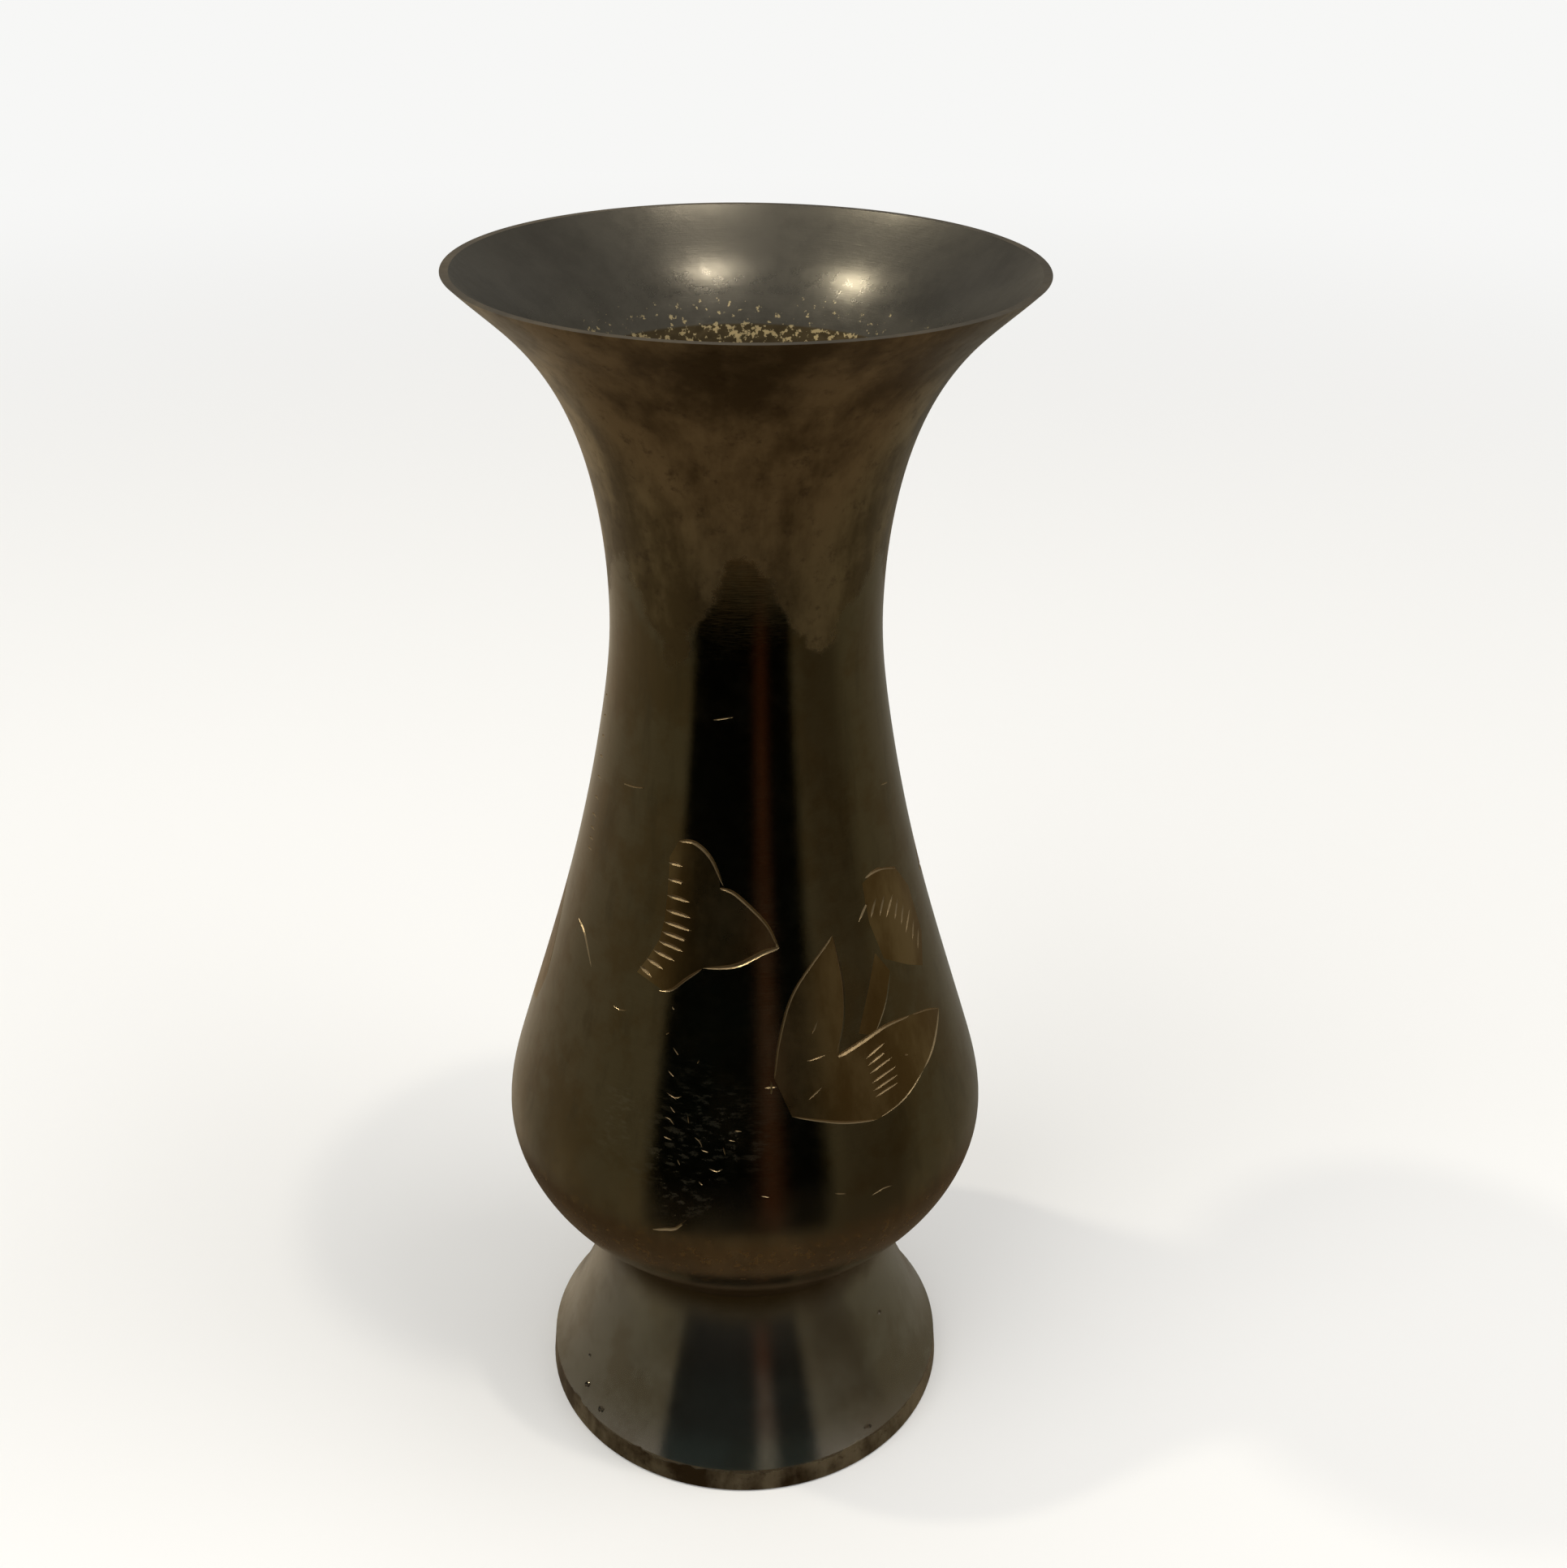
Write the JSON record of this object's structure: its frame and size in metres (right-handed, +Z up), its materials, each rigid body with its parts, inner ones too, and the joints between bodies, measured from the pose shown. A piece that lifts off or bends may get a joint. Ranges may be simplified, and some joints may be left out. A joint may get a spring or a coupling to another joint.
{
  "type": "engraved bud vase",
  "caption": "Small turned metal bud vase with a flared mouth, slim neck and pear-shaped belly on a flared hollow foot, its belly cut with leaves and flowers.",
  "frame": {"origin": "centre of the flat ring that the foot stands on", "axes": "+Z up along the axis that the vase is turned about; -Y is the engraved side that faces the viewer"},
  "size_m": [0.0628, 0.0628, 0.152],
  "materials": {
    "tarnished_brass": "dark aged brass, polished with brown mottled tarnish",
    "polished_brass": "turned and polished, dulled with age",
    "braze_filler": "as brazed",
    "plain_brass": "turned, unpolished"
  },
  "bodies": {
    "root": {"upper_body": "tarnished_brass", "lower_bowl": "tarnished_brass", "belly_braze_ring": "braze_filler", "pedestal_foot": "polished_brass", "foot_screw": "plain_brass", "foot_washer": "plain_brass"}
  },
  "joints": []
}
